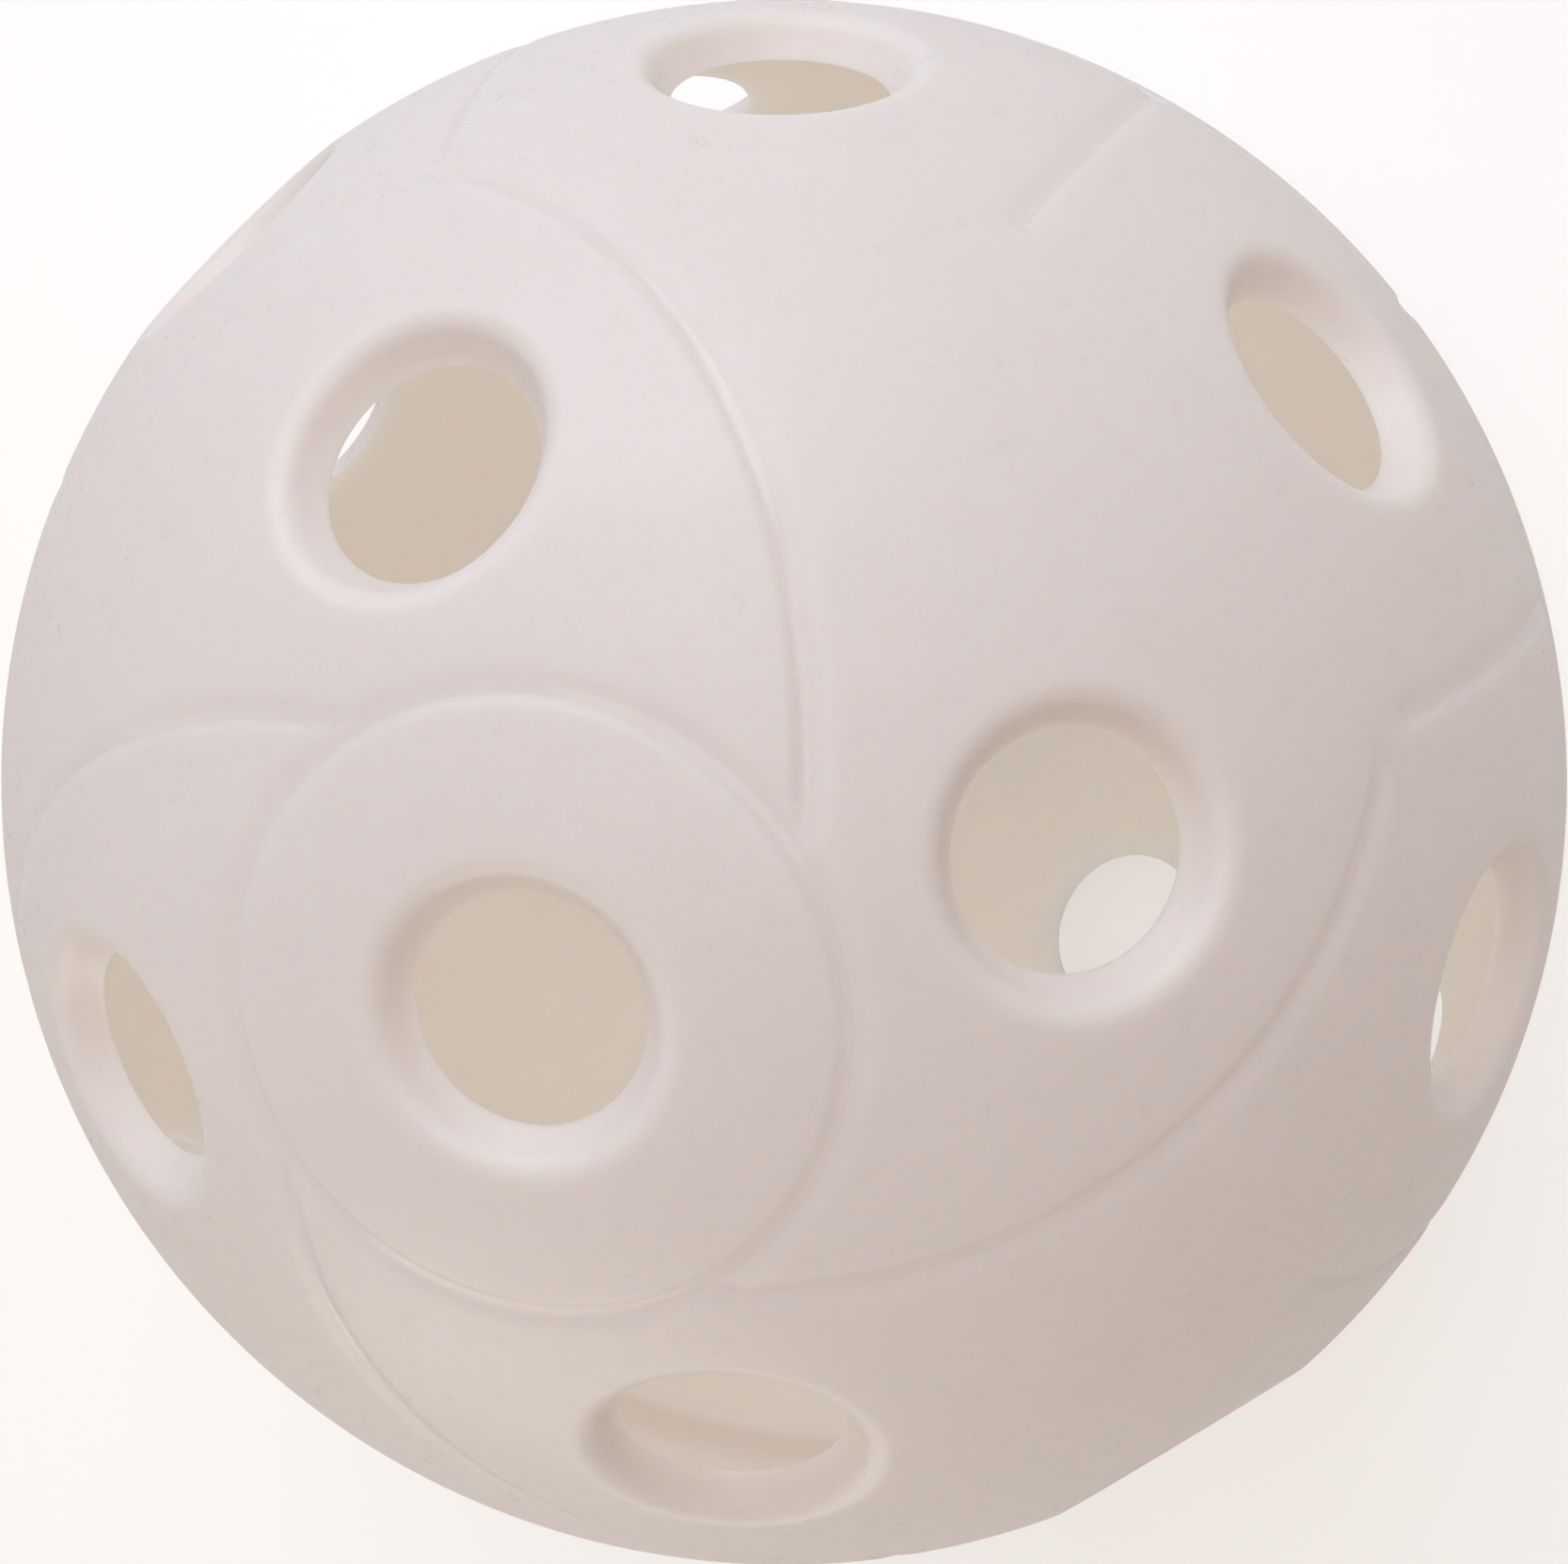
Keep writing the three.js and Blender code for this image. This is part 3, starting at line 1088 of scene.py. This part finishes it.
@dataclass(frozen=True)
class Studio:
    """Camera at the photograph's viewing angle, plain soft light, and a pale floor."""

    floor_height: float
    camera_azimuth: float = math.radians(26.6)
    camera_elevation: float = math.radians(68.4)
    camera_roll: float = math.radians(-131.8)
    camera_distance: float = 135.2 * MM
    lens: float = 65.2
    sensor_width: float = 36.0
    nearest_seen: float = 10.0 * MM
    floor_width: float = 4.0
    floor_roughness: float = 0.9
    floor_colour: tuple[float, float, float] = (0.9, 0.9, 0.9)
    floor_glow: float = 0.3
    sky_strength: float = 0.37
    sky_colour: tuple[float, float, float] = (1.15, 1.0, 0.9)
    bounces: int = 24
    lamps: tuple[Lamp, ...] = (
        Lamp("key_lamp", math.radians(62.0), math.radians(70.0), 0.6, 0.25, 0.45, (0.87, 1.0, 1.15)),
        Lamp("side_lamp", math.radians(65.0), math.radians(99.0), 0.6, 0.4, 0.66, (0.81, 1.0, 1.23)),
        Lamp("fill_lamp", math.radians(25.0), math.radians(60.0), 0.7, 0.5, 1.03, (1.0, 1.0, 0.97)),
        Lamp("low_lamp", math.radians(78.0), math.radians(235.0), 0.6, 0.45, 0.86, (1.0, 1.0, 0.93)),
    )

    def camera(self) -> bpy.types.Object:
        """Makes the camera, which looks at the centre of the ball, turned by its roll."""
        data = bpy.data.cameras.new("camera")
        data.sensor_fit = "HORIZONTAL"
        data.sensor_width = self.sensor_width
        data.lens = self.lens
        data.clip_start = self.nearest_seen
        away = Vector(direction(math.pi / 2 - self.camera_elevation, self.camera_azimuth))
        upright = away.to_track_quat("Z", "Y").to_matrix().to_4x4()
        camera = bpy.data.objects.new("camera", data)
        place = Matrix.Translation(away * self.camera_distance)
        camera.matrix_world = place @ upright @ Matrix.Rotation(self.camera_roll, 4, "Z")
        bpy.context.scene.collection.objects.link(camera)
        bpy.context.scene.camera = camera
        return camera

    def floor(self) -> bpy.types.Object:
        """Makes the floor: white to the camera, with the ball's shadow on it."""
        half = self.floor_width / 2
        mesh = bpy.data.meshes.new("floor")
        turns = ((-1, -1), (1, -1), (1, 1), (-1, 1))
        corners = [(x * half, y * half, self.floor_height) for x, y in turns]
        mesh.from_pydata(corners, [], [(0, 1, 2, 3)])
        material = bpy.data.materials.new("floor")
        material.use_nodes = True
        nodes, links = material.node_tree.nodes, material.node_tree.links
        shader = nodes["Principled BSDF"]
        shader.inputs["Base Color"].default_value = (*self.floor_colour, 1.0)
        shader.inputs["Roughness"].default_value = self.floor_roughness
        shader.inputs["Emission Color"].default_value = WHITE
        path = nodes.new("ShaderNodeLightPath")
        glow = nodes.new("ShaderNodeMath")
        glow.operation = "MULTIPLY"
        glow.inputs[1].default_value = self.floor_glow
        links.new(path.outputs["Is Camera Ray"], glow.inputs[0])
        links.new(glow.outputs[0], shader.inputs["Emission Strength"])
        mesh.materials.append(material)
        floor = bpy.data.objects.new("floor", mesh)
        bpy.context.scene.collection.objects.link(floor)
        return floor

    def sky(self) -> bpy.types.World:
        """Makes the world: even light, and plain white where it is seen or mirrored."""
        world = bpy.data.worlds.new("sky")
        world.use_nodes = True
        nodes, links = world.node_tree.nodes, world.node_tree.links
        nodes.clear()
        even = nodes.new("ShaderNodeBackground")
        even.inputs["Color"].default_value = (*self.sky_colour, 1.0)
        even.inputs["Strength"].default_value = self.sky_strength
        white = nodes.new("ShaderNodeBackground")
        path = nodes.new("ShaderNodeLightPath")
        white.inputs["Color"].default_value = WHITE
        seen = path.outputs["Is Camera Ray"]
        for ray in ("Is Glossy Ray", "Is Transmission Ray"):
            either = nodes.new("ShaderNodeMath")
            either.operation = "MAXIMUM"
            links.new(seen, either.inputs[0])
            links.new(path.outputs[ray], either.inputs[1])
            seen = either.outputs[0]
        mixed = nodes.new("ShaderNodeMixShader")
        links.new(seen, mixed.inputs[0])
        links.new(even.outputs[0], mixed.inputs[1])
        links.new(white.outputs[0], mixed.inputs[2])
        leave = nodes.new("ShaderNodeOutputWorld")
        links.new(mixed.outputs[0], leave.inputs["Surface"])
        bpy.context.scene.world = world
        return world

    def build(self) -> None:
        """Makes the camera, the lamps, the sky and the floor."""
        self.camera()
        for lamp in self.lamps:
            lamp.build()
        self.sky()
        self.floor()
        scene = bpy.context.scene
        scene.view_settings.view_transform = "Standard"
        scene.cycles.diffuse_bounces = self.bounces
        scene.cycles.max_bounces = self.bounces


def main() -> None:
    """Builds the ball's two halves and the studio round them."""
    logging.basicConfig(level=logging.INFO, format="%(name)s: %(message)s")
    low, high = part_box("upper_half_shell")
    wall = Wall(outer_radius=(high.x - low.x) / 2)
    grain, marks = moulded_grain(), handling_marks()
    finishes = {skin: finish.material(grain, marks) for skin, finish in FINISHES.items()}
    halves = [
        HalfShell("upper_shell", "upper_half_shell", SeamSide.REBATE, wall),
        HalfShell("lower_shell", "lower_half_shell", SeamSide.LIP, wall, math.radians(11.25)),
    ]
    for half in halves:
        half.build(finishes)
    Studio(floor_height=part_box("lower_half_shell")[0].z).build()


if __name__ == "__main__":
    main()
